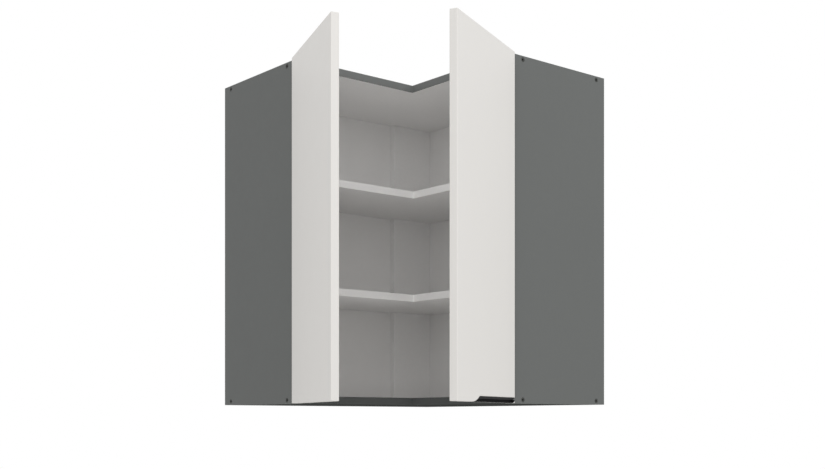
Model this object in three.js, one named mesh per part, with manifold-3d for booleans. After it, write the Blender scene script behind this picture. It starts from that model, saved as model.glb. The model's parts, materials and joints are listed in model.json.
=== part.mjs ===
// Corner wall cabinet: an L-shaped carcass for a square room corner, with two L-shaped shelves, a door on
// each end panel, wide-angle concealed hinges and adjustable wall hangers.
//
// Millimetres, +Z up. The origin is the room corner at the height of the cabinet's underside: the walls
// are the planes x = 0 and y = 0, and the cabinet lies at x > 0, y < 0. The right wing runs along +X and
// the left wing along -Y. Each is the mirror image of the other, so the pieces of a wing are written once,
// in the right wing's coordinates. The doors stand open, each at its own angle.

import * as THREE from "three";
import { RoundedBoxGeometry } from "three/addons/geometries/RoundedBoxGeometry.js";
import { mergeVertices } from "three/addons/utils/BufferGeometryUtils.js";
import Module from "manifold-3d";

const wasm = await Module();
wasm.setup();

// ---- Driving dimensions -------------------------------------------------------------------------------

// Carcass boards
const wingLength = 600; // along each wall, corner to outer face of the end panel
const wingDepth = 288; // wall to front edge
const cabinetHeight = 716;
const boardThickness = 16;
const edgeBreak = 0.5; // chamfer on every edge of a carcass board
const boardJoint = 0.2; // gap where the end of one board meets the face of another

// Back sheets and the board that stiffens the corner
const backInset = 17; // wall to back sheet
const backThickness = 3;
const grooveDepth = 7; // grooves that take the back sheets
const grooveClearance = 0.3; // on each side of a back sheet, and past its edge
const cornerBoardWidth = 117;

// Shelves
const shelfSetback = 15; // carcass front to shelf front
const shelfPlay = 0.6; // between a shelf and what stands round it

// Doors
const doorThickness = 16;
const doorEdgeRadius = 1.2; // round of every door edge
const rightDoorWidth = 287;
const leftDoorWidth = 296;
const doorReveal = 1; // door edge to the carcass's outer faces
const doorGap = 2; // closed door to carcass front
const rightDoorOpening = 114; // degrees from closed
const leftDoorOpening = 110;
const pivotFromDoorEdge = 0.3; // the line each door turns about, from its hinge edge
const pivotInDoor = 2; // and from its inner face

// Grip rebate along the bottom of the right door's outer face
const gripStart = 71; // from the door's free edge, where the curve leaves the bottom edge
const gripLevelStart = 105; // where the curve reaches full height
const gripHeight = 11;
const gripRebateDepth = 10;
const gripRimBreak = 0.6; // chamfer round the rebate, in the door's outer face
const gripHeelLength = 12; // the corner left white at the hinge edge
const gripHeelHeight = 3.4;
const gripClearance = 0.3; // rebate to grip profile
const gripLip = 4.8; // height and depth of the bevelled lip
const gripFingerDepth = 7.2; // finger recess, from the door's outer face
const gripEndWall = 5; // solid end of the profile past the curve

// Hinge cup and its bores in the door
const hingeInset = 100; // door end to hinge centre
const cupFromDoorEdge = 22.5; // door's hinge edge to cup axis
const cupRadius = 17.3;
const cupDepth = 11.5;
const cupWall = 1.2;
const cupClearance = 0.3;
const cupFlange = 1; // thickness
const cupFlangeRadius = 18.5;
const cupDowelSpacing = 48;
const cupDowelOffset = 6; // dowel row to cup axis, away from the hinge edge
const cupDowelRadius = 4;
const cupDowelLength = 8;
const cupLobeRadius = 6.5;

// Hinge linkage
const cupPinFromDoorEdge = 20.7;
const cupPinDepth = 4; // below the door's inner face
const armPinInset = 12; // from the end panel's inner face
const armPinSetback = 9.7; // from the carcass front
const pinRadius = 1.3;
const pinClearance = 0.25;
const linkHalfWidth = 3; // the link, along the hinge's height
const leverEndRadius = 3.5;
const linkLeverEndRadius = 3.1;
const linkCupEndRadius = 2.5;
const cheekGap = 0.4; // between pieces that turn face to face
const leverCheek = 2.6; // thickness of each lever cheek

// Hinge arm and mounting plate
const armWall = 1.4;
const armLength = 68; // carcass front to the arm's rear end
const armEarRadius = 4.7;
const armHeight = 16; // panel to the arm's outer face
const plateLine = 37; // carcass front to the plate's screws
const plateScrewSpacing = 32;
const plateLobeRadius = 8.5;
const plateThickness = 2.8;
const plateRibHeight = 9.5;
const plateRibLength = 44;
const euroScrewRadius = 3;
const euroScrewLength = 11;
const euroScrewHeadRadius = 4.4;
const euroScrewHeadHeight = 1.4;

// One-piece connector screws that hold the carcass together
const screwLength = 50;
const screwHeadRadius = 5;
const screwHeadHeight = 2;
const screwShankRadius = 3.5;
const screwShankLength = 12; // head included
const screwThreadRadius = 3;
const screwTipLength = 3;
const screwSocketWidth = 4; // across the flats
const screwSocketDepth = 2.5;
const screwClearance = 0.2;
const rearScrewFromWall = 26.5;
const frontScrewFromFront = 36;

// Shelf pins
const shelfPinRadius = 2.5;
const shelfPinDepth = 8; // in the end panel
const shelfPinPegRadius = 3.5;
const shelfPinPegLength = 10;
const shelfPinFlat = 1.5; // pin axis to the flat that the shelf rests on
const shelfPinClearance = 0.2;
const rearPinFromWall = 60;
const frontPinFromFront = 53;

// Wall hangers
const hangerWidth = 15; // from the end panel
const hangerLength = 48; // from the back sheet, along the wing's depth
const hangerHeight = 44;
const hangerFromTop = 8; // below the top board
const hangerWall = 2.5;
const hookWidth = 8;
const hookThickness = 2.5;
const hookReach = 12; // past the back sheet, towards the wall
const hookLip = 12;
const hookInside = 34; // length of the hook inside the housing
const hookTailRelief = 0.5; // underside of the tail above the seat that rests on the rail
const hookClearance = 0.3;
const hangerCutout = 3; // back sheet's cut-out past the housing

// Facets round a full circle
const largeRound = 28;
const smallRound = 10;
const edgeSteps = 1; // facets of a round edge on each side of its middle

// ---- Worked-out places --------------------------------------------------------------------------------

const innerFace = wingLength - boardThickness; // inner face of the end panel
const backFace = backInset + backThickness; // inner face of the back sheet, from the wall
const topUnderside = cabinetHeight - boardThickness;
const compartment = (cabinetHeight - 4 * boardThickness) / 3;
const lowerShelf = boardThickness + compartment; // undersides of the shelves
const upperShelf = lowerShelf + boardThickness + compartment;
const doorBottom = doorReveal;
const doorTop = cabinetHeight - doorReveal;
const doorEdge = wingLength - doorReveal; // hinge edge of a closed door
const doorInner = -wingDepth - doorGap; // inner face of a closed door
const doorPivot = new THREE.Vector2(doorEdge - pivotFromDoorEdge, doorInner - pivotInDoor);
const hingeHeights = { bottom: doorBottom + hingeInset, top: doorTop - hingeInset };
const screwHeights = { bottom: boardThickness / 2, top: cabinetHeight - boardThickness / 2 };
const screwRows = { rear: -rearScrewFromWall, front: -wingDepth + frontScrewFromFront };
const pinRows = { rear: -rearPinFromWall, front: -wingDepth + frontPinFromFront };
const shelfHeights = { lower: lowerShelf, upper: upperShelf };
const hangerTop = topUnderside - hangerFromTop;
const cornerBoardX = backFace + boardThickness / 2 + boardJoint; // middle of the corner board
const cornerScrewRows = [-backFace - cornerBoardWidth / 4, -backFace - (cornerBoardWidth * 3) / 4];
const cornerShelfScrewRow = -backFace - cornerBoardWidth / 2;

// The door, the carcass, the lever and the link form a parallelogram: the lever turns as the door does and
// the link keeps its direction. Its corners at the closed door, in the wing's coordinates:
const armPin = new THREE.Vector2(innerFace - armPinInset, -wingDepth + armPinSetback);
const cupPin = new THREE.Vector2(doorEdge - cupPinFromDoorEdge, doorInner - cupPinDepth);
const leverVector = cupPin.clone().sub(doorPivot); // arm pin to the lever's far pin
const linkVector = doorPivot.clone().sub(armPin); // lever's far pin to cup pin

// ---- Materials ----------------------------------------------------------------------------------------

function finish(color, roughness, metalness = 0) {
  return new THREE.MeshStandardMaterial({ color, roughness, metalness, flatShading: true });
}

const materials = {
  graphite: finish(0x6b6d6b, 0.6),
  white: finish(0xe2e1de, 0.45),
  door: finish(0xebeae6, 0.35),
  hardboard: finish(0xd8d6d2, 0.7),
  black: finish(0x1c1c1d, 0.5),
  blackened: finish(0x2d2d2e, 0.5, 0.7),
  nickel: finish(0xb9b9b6, 0.3, 0.9),
  zinc: finish(0xa8aaab, 0.45, 0.8),
  plastic: finish(0xe9e9e6, 0.5),
};

// ---- Shape helpers ------------------------------------------------------------------------------------

function solidOf(geometry) {
  const bare = geometry.clone();
  bare.deleteAttribute("normal");
  bare.deleteAttribute("uv");
  const merged = mergeVertices(bare, 1e-4);
  return new wasm.Manifold(
    new wasm.Mesh({
      numProp: 3,
      vertProperties: new Float32Array(merged.attributes.position.array),
      triVerts: Uint32Array.from(merged.index.array),
    }),
  );
}

function geometryOf(solid) {
  const mesh = solid.getMesh();
  const geometry = new THREE.BufferGeometry();
  geometry.setAttribute("position", new THREE.BufferAttribute(mesh.vertProperties, 3));
  geometry.setIndex(new THREE.BufferAttribute(mesh.triVerts, 1));
  geometry.computeVertexNormals();
  return geometry;
}

function joined(...geometries) {
  return geometryOf(geometries.map(solidOf).reduce((sum, solid) => sum.add(solid)));
}

function carved(geometry, ...cutters) {
  return geometryOf(cutters.map(solidOf).reduce((rest, cutter) => rest.subtract(cutter), solidOf(geometry)));
}

function block(low, high) {
  const size = high.map((value, i) => value - low[i]);
  const middle = high.map((value, i) => (value + low[i]) / 2);
  return new THREE.BoxGeometry(...size).translate(...middle);
}

// Cylinders along an axis, from one coordinate to the other.
function rodY(radius, x, z, from, to, facets = smallRound) {
  return new THREE.CylinderGeometry(radius, radius, to - from, facets).translate(x, (from + to) / 2, z);
}

function rodX(radius, y, z, from, to, facets = smallRound) {
  return new THREE.CylinderGeometry(radius, radius, to - from, facets)
    .rotateZ(-Math.PI / 2)
    .translate((from + to) / 2, y, z);
}

function rodZ(radius, x, y, from, to, facets = smallRound) {
  return new THREE.CylinderGeometry(radius, radius, to - from, facets)
    .rotateX(Math.PI / 2)
    .translate(x, y, (from + to) / 2);
}

function rectangle(x0, y0, x1, y1) {
  return [
    [x0, y0],
    [x1, y0],
    [x1, y1],
    [x0, y1],
  ];
}

// Each corner of an outline cut back by the edge break.
function brokenCorners(outline) {
  const points = outline.map(([x, y]) => new THREE.Vector2(x, y));
  return points.flatMap((corner, i) => {
    const before = points[(i + points.length - 1) % points.length];
    const after = points[(i + 1) % points.length];
    return [before, after].map((other) => {
      const step = other.clone().sub(corner).setLength(edgeBreak);
      return [corner.x + step.x, corner.y + step.y];
    });
  });
}

function prism(outline, bottom, top) {
  const shape = new THREE.Shape(outline.map(([x, y]) => new THREE.Vector2(x, y)));
  const depth = top - bottom;
  return new THREE.ExtrudeGeometry(shape, { depth, bevelEnabled: false }).translate(0, 0, bottom);
}

// A board: an outline seen from above, with every edge broken.
function board(outline, bottom, top) {
  const shape = new THREE.Shape(brokenCorners(outline).map(([x, y]) => new THREE.Vector2(x, y)));
  return new THREE.ExtrudeGeometry(shape, {
    depth: top - bottom - 2 * edgeBreak,
    bevelThickness: edgeBreak,
    bevelSize: edgeBreak,
    bevelOffset: -edgeBreak,
    bevelSegments: 1,
  }).translate(0, 0, bottom + edgeBreak);
}

// The outline round two circles and the straight tangents between them.
function roundEndedOutline(start, startRadius, end, endRadius, facets = smallRound) {
  const along = end.clone().sub(start);
  const heading = along.angle();
  const lean = Math.acos((startRadius - endRadius) / along.length());
  const arc = (centre, radius, from, to) =>
    Array.from({ length: facets / 2 + 1 }, (_, i) => {
      const angle = from + ((to - from) * i) / (facets / 2);
      return [centre.x + radius * Math.cos(angle), centre.y + radius * Math.sin(angle)];
    });
  return [
    ...arc(end, endRadius, heading - lean, heading + lean),
    ...arc(start, startRadius, heading + lean, heading + 2 * Math.PI - lean),
  ];
}

// The wing mirror (x, y) -> (-y, -x), for a cutter shared by both wings.
function inLeftWing(geometry) {
  const mirrored = geometry.index ? geometry.toNonIndexed() : geometry.clone();
  mirrored.applyMatrix4(new THREE.Matrix4().set(0, -1, 0, 0, -1, 0, 0, 0, 0, 0, 1, 0, 0, 0, 0, 1));
  const position = mirrored.attributes.position;
  for (let i = 0; i < position.count; i += 3) {
    const second = new THREE.Vector3().fromBufferAttribute(position, i + 1);
    const third = new THREE.Vector3().fromBufferAttribute(position, i + 2);
    position.setXYZ(i + 1, third.x, third.y, third.z);
    position.setXYZ(i + 2, second.x, second.y, second.z);
  }
  return mirrored;
}

function named(name, geometry, material) {
  const mesh = new THREE.Mesh(geometry, material);
  mesh.name = name;
  return mesh;
}

// ---- Connector screws ---------------------------------------------------------------------------------

// A body of revolution on +Z with its head's face at z = 0 and its tip at z = -screwLength. With a
// clearance it is the stepped bore for the screw, open above the head.
function screwBody(clearance = 0) {
  const head = screwHeadRadius + clearance;
  const shank = screwShankRadius + clearance;
  const thread = screwThreadRadius + clearance;
  const end = -screwLength - clearance;
  const profile = [
    [0, end],
    [thread / 3, end],
    [thread, end + screwTipLength],
    [thread, -screwShankLength - 1],
    [shank, -screwShankLength],
    [shank, -screwHeadHeight - (screwHeadRadius - screwShankRadius)],
    [head, -screwHeadHeight],
    [head, clearance > 0 ? screwHeadHeight : 0],
    [0, clearance > 0 ? screwHeadHeight : 0],
  ];
  const points = profile.map(([radius, height]) => new THREE.Vector2(radius, height));
  return new THREE.LatheGeometry(points, smallRound).rotateX(Math.PI / 2);
}

function screw(name) {
  const socketRadius = screwSocketWidth / Math.sqrt(3);
  const socket = rodZ(socketRadius, 0, 0, -screwSocketDepth, 1, 6);
  return named(name, carved(screwBody(), socket), materials.blackened);
}

// Turns that point a screw's tip along -X, -Z, +Z and +X.
const tipTurns = {
  minusX: new THREE.Euler(0, Math.PI / 2, 0),
  minusZ: new THREE.Euler(0, 0, 0),
  plusZ: new THREE.Euler(Math.PI, 0, 0),
  plusX: new THREE.Euler(0, -Math.PI / 2, 0),
};

function screwBore(turn, x, y, z) {
  const place = new THREE.Matrix4().makeRotationFromEuler(turn).setPosition(x, y, z);
  return screwBody(screwClearance).applyMatrix4(place);
}

function placedScrew(name, turn, x, y, z) {
  const mesh = screw(name);
  mesh.rotation.copy(turn);
  mesh.position.set(x, y, z);
  return mesh;
}

// The four screws through an end panel, two into the top board and two into the bottom one.
const endScrewPlaces = Object.entries(screwHeights).flatMap(([level, z]) =>
  Object.entries(screwRows).map(([row, y]) => ({
    name: `${level}_${row}`,
    x: wingLength - edgeBreak / 2,
    y,
    z,
  })),
);

function endScrewBores() {
  return endScrewPlaces.map(({ x, y, z }) => screwBore(tipTurns.minusX, x, y, z));
}

// The screws that hold the corner board: down through the top board and up through the bottom one.
const cornerScrewPlaces = [
  { level: "top", turn: tipTurns.minusZ, z: cabinetHeight - edgeBreak / 2 },
  { level: "bottom", turn: tipTurns.plusZ, z: edgeBreak / 2 },
].flatMap(({ level, turn, z }) =>
  cornerScrewRows.map((y, i) => ({ name: `corner_screw_${level}_${i + 1}`, turn, x: cornerBoardX, y, z })),
);

// The screws that hold each shelf to the corner board, from behind it.
const shelfScrewPlaces = Object.entries(shelfHeights).map(([level, z]) => ({
  name: `shelf_screw_${level}`,
  turn: tipTurns.plusX,
  x: backFace + boardJoint + edgeBreak / 2,
  y: cornerShelfScrewRow,
  z: z + boardThickness / 2,
}));

function boresOf(places) {
  return places.map(({ turn, x, y, z }) => screwBore(turn, x, y, z));
}

// ---- Boards -------------------------------------------------------------------------------------------

// The slot that takes a back sheet, over a height and a length along the wing.
function backGroove(fromX, toX, bottom, top) {
  return block(
    [fromX, -backFace - grooveClearance, bottom],
    [toX, -backInset + grooveClearance, top],
  );
}

function endPanel() {
  const panel = board(rectangle(innerFace, -wingDepth, wingLength, 0), 0, cabinetHeight);
  const groove = backGroove(innerFace - 1, innerFace + grooveDepth, -1, cabinetHeight + 1);
  const pinBores = Object.values(shelfHeights).flatMap((z) =>
    Object.values(pinRows).map((y) => {
      const axisHeight = z - boardJoint - shelfPinFlat;
      return rodX(
        shelfPinRadius + shelfPinClearance,
        y,
        axisHeight,
        innerFace - 1,
        innerFace + shelfPinDepth + shelfPinClearance,
      );
    }),
  );
  const plateBores = Object.values(hingeHeights).flatMap((z) =>
    [-1, 1].map((side) =>
      rodX(
        euroScrewRadius + screwClearance,
        -wingDepth + plateLine,
        z + (side * plateScrewSpacing) / 2,
        innerFace - 1,
        innerFace + euroScrewLength + screwClearance,
      ),
    ),
  );
  const carvedPanel = carved(panel, groove, ...endScrewBores(), ...pinBores, ...plateBores);
  return named("end_panel", carvedPanel, materials.graphite);
}

// An L-shaped outline: both wings from the walls, or from a distance off them, to a front line.
function wingOutline(back, front, end) {
  return [
    [back, -back],
    [back, -end],
    [front, -end],
    [front, -front],
    [end, -front],
    [end, -back],
  ];
}

// The top or the bottom board, with the grooves for the back sheets on its inner side.
function carcassBoard(name, bottom, grooveBottom, grooveTop) {
  const end = innerFace - boardJoint;
  const plain = board(wingOutline(0, wingDepth, end), bottom, bottom + boardThickness);
  const groove = backGroove(backInset - grooveClearance, end + 1, grooveBottom, grooveTop);
  const bores = [...endScrewBores(), ...endScrewBores().map(inLeftWing), ...boresOf(cornerScrewPlaces)];
  return named(name, carved(plain, groove, inLeftWing(groove), ...bores), materials.graphite);
}

function topBoard() {
  return carcassBoard("top_board", topUnderside, topUnderside - 1, topUnderside + grooveDepth);
}

function bottomBoard() {
  return carcassBoard("bottom_board", 0, boardThickness - grooveDepth, boardThickness + 1);
}

function cornerBoard() {
  const x = backFace + boardJoint;
  const y = -backFace - boardJoint;
  const outline = rectangle(x, -backFace - cornerBoardWidth, x + boardThickness, y);
  const plain = board(outline, boardThickness + boardJoint, topUnderside - boardJoint);
  return named(
    "corner_board",
    carved(plain, ...boresOf(cornerScrewPlaces), ...boresOf(shelfScrewPlaces)),
    materials.white,
  );
}

// An L-shaped shelf, notched round the corner board.
function shelf(level, bottom) {
  const back = backFace + shelfPlay;
  const boardFace = backFace + boardJoint + boardThickness + boardJoint;
  const boardEnd = backFace + cornerBoardWidth + shelfPlay;
  const [, ...rest] = wingOutline(back, wingDepth - shelfSetback, innerFace - shelfPlay);
  const outline = [[boardFace, -back], [boardFace, -boardEnd], [back, -boardEnd], ...rest];
  const plain = board(outline, bottom, bottom + boardThickness);
  return named(`shelf_${level}`, carved(plain, ...boresOf(shelfScrewPlaces)), materials.white);
}

// A back sheet in its grooves, from near the corner to the end panel, cut out round the wall hanger.
function backSheet(name, start) {
  const reach = grooveDepth - grooveClearance;
  const sheet = block(
    [start, -backFace, boardThickness - reach],
    [innerFace + reach, -backInset, topUnderside + reach],
  );
  const cutout = block(
    [innerFace - hangerWidth - hangerCutout, -backFace - 1, hangerTop - hangerHeight - hangerCutout],
    [innerFace + grooveDepth + 1, -backInset + 1, cabinetHeight],
  );
  return named(name, carved(sheet, cutout), materials.hardboard);
}

// ---- Shelf pins ---------------------------------------------------------------------------------------

// A pin on the X axis: the shank in the panel, then a round peg with a flat that carries the shelf.
function shelfPin(name) {
  const shank = rodX(shelfPinRadius, 0, 0, -boardJoint, shelfPinDepth);
  const peg = rodX(shelfPinPegRadius, 0, 0, -shelfPinPegLength, -boardJoint);
  const overFlat = block(
    [-shelfPinPegLength - 1, -shelfPinPegRadius - 1, shelfPinFlat],
    [-boardJoint, shelfPinPegRadius + 1, shelfPinPegRadius + 1],
  );
  return named(name, joined(carved(peg, overFlat), shank), materials.nickel);
}

// ---- Wall hangers -------------------------------------------------------------------------------------

// The hook's height, and the slot that it leaves the housing through.
const hookBottom = hangerTop - hangerHeight / 2;
const hookX = innerFace - hangerWidth / 2;

function hangerHousing() {
  const far = -backFace - hangerLength;
  const near = -backFace - boardJoint;
  const body = board(
    rectangle(innerFace - hangerWidth, far, innerFace - boardJoint, near),
    hangerTop - hangerHeight,
    hangerTop,
  );
  const channel = block(
    [hookX - hookWidth / 2 - hookClearance, near - hookInside - hangerWall, hookBottom - hookClearance],
    [hookX + hookWidth / 2 + hookClearance, near + 1, hookBottom + hookThickness + hookClearance],
  );
  // the two adjusting screws' wells, in the face that looks into the wing
  const wells = [-1, 1].map((side) =>
    rodX(
      screwShankRadius,
      near - hangerLength / 2,
      hookBottom + hookThickness / 2 + (side * hangerHeight) / 4,
      innerFace - hangerWidth - 1,
      innerFace - hangerWidth + hangerWall,
    ),
  );
  return named("hanger_housing", carved(body, channel, ...wells), materials.plastic);
}

// A bent strip seen along X: a thinned tail in the housing, a seat that rests on the wall rail, and a lip
// turned down behind the rail.
function hangerHook() {
  const tail = -backFace - boardJoint - hookInside;
  const tip = -backFace + backThickness + hookReach;
  const outline = [
    [tail, hookTailRelief],
    [-backFace, hookTailRelief],
    [-backFace, 0],
    [tip - hookThickness, 0],
    [tip - hookThickness, -hookLip],
    [tip, -hookLip],
    [tip, hookThickness - edgeBreak],
    [tip - edgeBreak, hookThickness],
    [tail, hookThickness],
  ];
  const strip = prism(outline, -hookWidth / 2, hookWidth / 2);
  // the outline's axes become Y and Z, and its thickness runs along X
  strip.applyMatrix4(new THREE.Matrix4().set(0, 0, 1, hookX, 1, 0, 0, 0, 0, 1, 0, hookBottom, 0, 0, 0, 1));
  return named("hanger_hook", strip, materials.zinc);
}

// ---- Hinges -------------------------------------------------------------------------------------------

// Hinge pieces on the panel are drawn from the corner of the panel's inner face and front edge, at the
// hinge's mid height.
const armPinLocal = new THREE.Vector2(-armPinInset, armPinSetback);
const leverHalfHeight = linkHalfWidth + cheekGap + leverCheek;
const armInnerHalf = leverHalfHeight + cheekGap;
const armOuterHalf = armInnerHalf + armWall;

function mountingPlate(name) {
  const spread = plateScrewSpacing / 2;
  const lobes = [-1, 1].map((side) =>
    rodX(plateLobeRadius, plateLine, side * spread, -plateThickness, -boardJoint),
  );
  const bar = block(
    [-plateThickness, plateLine - plateLobeRadius, -spread],
    [-boardJoint, plateLine + plateLobeRadius, spread],
  );
  const ribHalf = armInnerHalf - cheekGap;
  const rib = block(
    [-plateRibHeight, plateLine - plateRibLength / 2, -ribHalf],
    [-boardJoint, plateLine + plateRibLength / 2, ribHalf],
  );
  const screws = [-1, 1].flatMap((side) => [
    rodX(euroScrewRadius, plateLine, side * spread, -plateThickness, euroScrewLength),
    rodX(
      euroScrewHeadRadius,
      plateLine,
      side * spread,
      -plateThickness - euroScrewHeadHeight,
      -plateThickness + boardJoint,
    ),
  ]);
  return named(name, joined(bar, ...lobes, rib, ...screws), materials.nickel);
}

// The arm: a channel over the plate's rib, whose side walls run forward as two ears that hold the pin.
function hingeArm(name) {
  const foot = -plateThickness - boardJoint;
  const side = prism(
    [
      ...roundEndedOutline(
        armPinLocal,
        armEarRadius,
        new THREE.Vector2(armPinLocal.x, armPinSetback + 2 * armEarRadius),
        armEarRadius,
      ),
    ],
    -armOuterHalf,
    armOuterHalf,
  );
  const channel = block(
    [-armHeight, armPinSetback + armEarRadius, -armOuterHalf],
    [foot, armLength, armOuterHalf],
  );
  const inside = block(
    [-armHeight + armWall, -armEarRadius, -armInnerHalf],
    [1, armLength + 1, armInnerHalf],
  );
  const overLever = block(
    [-armHeight - armEarRadius, -armEarRadius, -armInnerHalf],
    [1, armPinSetback + armEarRadius, armInnerHalf],
  );
  const pinHole = rodZ(
    pinRadius + pinClearance,
    armPinLocal.x,
    armPinLocal.y,
    -armOuterHalf - 1,
    armOuterHalf + 1,
  );
  return named(name, carved(joined(side, channel), inside, overLever, pinHole), materials.nickel);
}

// The lever, drawn from the arm's pin: two cheeks on a hub, with a pin across their far ends.
function hingeLever(name) {
  const origin = new THREE.Vector2(0, 0);
  const outline = roundEndedOutline(origin, leverEndRadius, leverVector, leverEndRadius);
  const whole = prism(outline, -leverHalfHeight, leverHalfHeight);
  const slotHalf = linkHalfWidth + cheekGap;
  const reach = leverVector.length() + 2 * leverEndRadius;
  const slot = block([-reach, -reach, -slotHalf], [-leverEndRadius - cheekGap, reach, slotHalf]);
  const armPinRod = rodZ(pinRadius, 0, 0, -armOuterHalf, armOuterHalf);
  const linkPinRod = rodZ(pinRadius, leverVector.x, leverVector.y, -leverHalfHeight, leverHalfHeight);
  return named(name, joined(carved(whole, slot), armPinRod, linkPinRod), materials.nickel);
}

// The link, drawn from the lever's far pin: a flat bar with an eye at each end.
function hingeLink(name) {
  const origin = new THREE.Vector2(0, 0);
  const outline = roundEndedOutline(origin, linkLeverEndRadius, linkVector, linkCupEndRadius);
  const bar = prism(outline, -linkHalfWidth, linkHalfWidth);
  const eyes = [origin, linkVector].map(({ x, y }) =>
    rodZ(pinRadius + pinClearance, x, y, -linkHalfWidth - 1, linkHalfWidth + 1),
  );
  return named(name, carved(bar, ...eyes), materials.nickel);
}

// The cup, drawn from its axis at the door's inner face, which it enters along -Y.
function hingeCup(name) {
  const flangeBase = cupClearance;
  const flangeTop = cupClearance + cupFlange;
  const spread = cupDowelSpacing / 2;
  const shell = rodY(cupRadius, 0, 0, -cupDepth, flangeTop, largeRound);
  const ring = rodY(cupFlangeRadius, 0, 0, flangeBase, flangeTop, largeRound);
  const bar = block(
    [-cupDowelOffset - cupLobeRadius, flangeBase, -spread],
    [-cupDowelOffset + cupLobeRadius, flangeTop, spread],
  );
  const lobes = [-1, 1].map((side) =>
    rodY(cupLobeRadius, -cupDowelOffset, side * spread, flangeBase, flangeTop, largeRound / 2),
  );
  const dowels = [-1, 1].map((side) =>
    rodY(cupDowelRadius, -cupDowelOffset, side * spread, -cupDowelLength, flangeTop),
  );
  const hollow = rodY(cupRadius - cupWall, 0, 0, -cupDepth + cupWall, flangeTop + 1, largeRound);
  const pinX = cupFromDoorEdge - cupPinFromDoorEdge;
  const ribInner = linkHalfWidth + cheekGap;
  const ribs = [-1, 1].map((side) => {
    const z = [side * ribInner, side * (ribInner + armWall)].sort((a, b) => a - b);
    return block(
      [pinX - linkCupEndRadius, -cupDepth + cupWall / 2, z[0]],
      [pinX + linkCupEndRadius, -cupPinDepth + linkCupEndRadius, z[1]],
    );
  });
  const pin = rodZ(pinRadius, pinX, -cupPinDepth, -ribInner - armWall, ribInner + armWall);
  return named(
    name,
    joined(carved(joined(shell, ring, bar, ...lobes, ...dowels), hollow), ...ribs, pin),
    materials.nickel,
  );
}

// ---- Doors --------------------------------------------------------------------------------------------

// A quarter-like curve that leaves a level line and climbs, as points from its foot to its head.
function risingArc(footX, footZ, headX, headZ, steps) {
  const run = Math.abs(headX - footX);
  const rise = headZ - footZ;
  const radius = (run * run + rise * rise) / (2 * rise);
  const sweep = Math.asin(run / radius);
  return Array.from({ length: steps + 1 }, (_, i) => {
    const angle = (sweep * i) / steps;
    const across = Math.sign(headX - footX) * radius * Math.sin(angle);
    return [footX + across, footZ + radius * (1 - Math.cos(angle))];
  });
}

// The grip rebate seen from the front of the closed door, as points of x and z, taken in by an inset.
function gripOutline(inset, below) {
  const freeEdge = doorEdge - rightDoorWidth;
  const foot = doorBottom;
  const head = foot + gripHeight - inset;
  const heelFoot = doorEdge - gripHeelLength;
  const past = inset > 0 ? -inset : 1;
  const rise = risingArc(freeEdge + gripStart + inset, foot, freeEdge + gripLevelStart + inset, head, 6);
  const heel = risingArc(heelFoot - inset, foot, doorEdge - inset, foot + gripHeelHeight + inset, 4);
  return [
    ...rise,
    [doorEdge + past, head],
    [doorEdge + past, heel.at(-1)[1]],
    ...heel.reverse(),
    [heelFoot - inset, foot - below],
    [freeEdge + gripStart + inset, foot - below],
  ];
}

// A front outline in x and z made a solid between two y coordinates.
function frontPrism(outline, fromY, toY) {
  // the prism's depth runs along +Y
  return prism(
    outline.map(([x, z]) => [x, -z]),
    fromY,
    toY,
  ).rotateX(-Math.PI / 2);
}

// What cuts the grip rebate: the recess, and a rim that widens from it to the door's outer face.
function gripRebate(outer) {
  const outline = gripOutline(0, 1);
  const shape = new THREE.Shape(outline.map(([x, z]) => new THREE.Vector2(x, z)));
  const rim = new THREE.ExtrudeGeometry(shape, {
    depth: 1,
    bevelThickness: gripRimBreak,
    bevelSize: gripRimBreak,
    bevelSegments: 1,
  });
  // the rim's depth runs out of the door, along -Y
  rim.rotateX(Math.PI / 2).translate(0, outer, 0);
  return [frontPrism(outline, outer - 1, outer + gripRebateDepth), rim];
}

function doorPanel(name, width, withGrip) {
  const outer = doorInner - doorThickness;
  const height = doorTop - doorBottom;
  const plain = new RoundedBoxGeometry(width, doorThickness, height, edgeSteps, doorEdgeRadius);
  plain.translate(doorEdge - width / 2, outer + doorThickness / 2, doorBottom + height / 2);
  const cupX = doorEdge - cupFromDoorEdge;
  const bores = Object.values(hingeHeights).flatMap((z) => [
    rodY(cupRadius + cupClearance, cupX, z, doorInner - cupDepth - cupClearance, doorInner + 1, largeRound),
    ...[-1, 1].map((side) =>
      rodY(
        cupDowelRadius + cupClearance,
        cupX - cupDowelOffset,
        z + (side * cupDowelSpacing) / 2,
        doorInner - cupDowelLength - cupClearance,
        doorInner + 1,
      ),
    ),
  ]);
  const rebate = withGrip ? gripRebate(outer) : [];
  return named(name, carved(plain, ...bores, ...rebate), materials.door);
}

// The grip profile: fills the rebate's back and top, with a bevelled lip over a finger recess.
function gripProfile() {
  const outer = doorInner - doorThickness;
  const filler = frontPrism(
    gripOutline(gripClearance, 0),
    outer + gripClearance,
    outer + gripRebateDepth - gripClearance,
  );
  const top = doorBottom + gripHeight - gripClearance;
  const section = [
    [outer - 1, top + 1],
    [outer + gripClearance, top],
    [outer + gripLip, top + gripClearance - gripLip],
    [outer + gripFingerDepth, top + gripClearance - gripLip],
    [outer + gripFingerDepth, doorBottom - 1],
    [outer - 1, doorBottom - 1],
  ];
  const start = doorEdge - rightDoorWidth + gripLevelStart + gripEndWall;
  const recess = prism(section, start, doorEdge + 1);
  // the section's axes become Y and Z, and its length runs along X
  recess.applyMatrix4(new THREE.Matrix4().set(0, 0, 1, 0, 1, 0, 0, 0, 0, 1, 0, 0, 0, 0, 0, 1));
  return named("grip_profile", carved(filler, recess), materials.black);
}

// ---- Assembly -----------------------------------------------------------------------------------------

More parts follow.
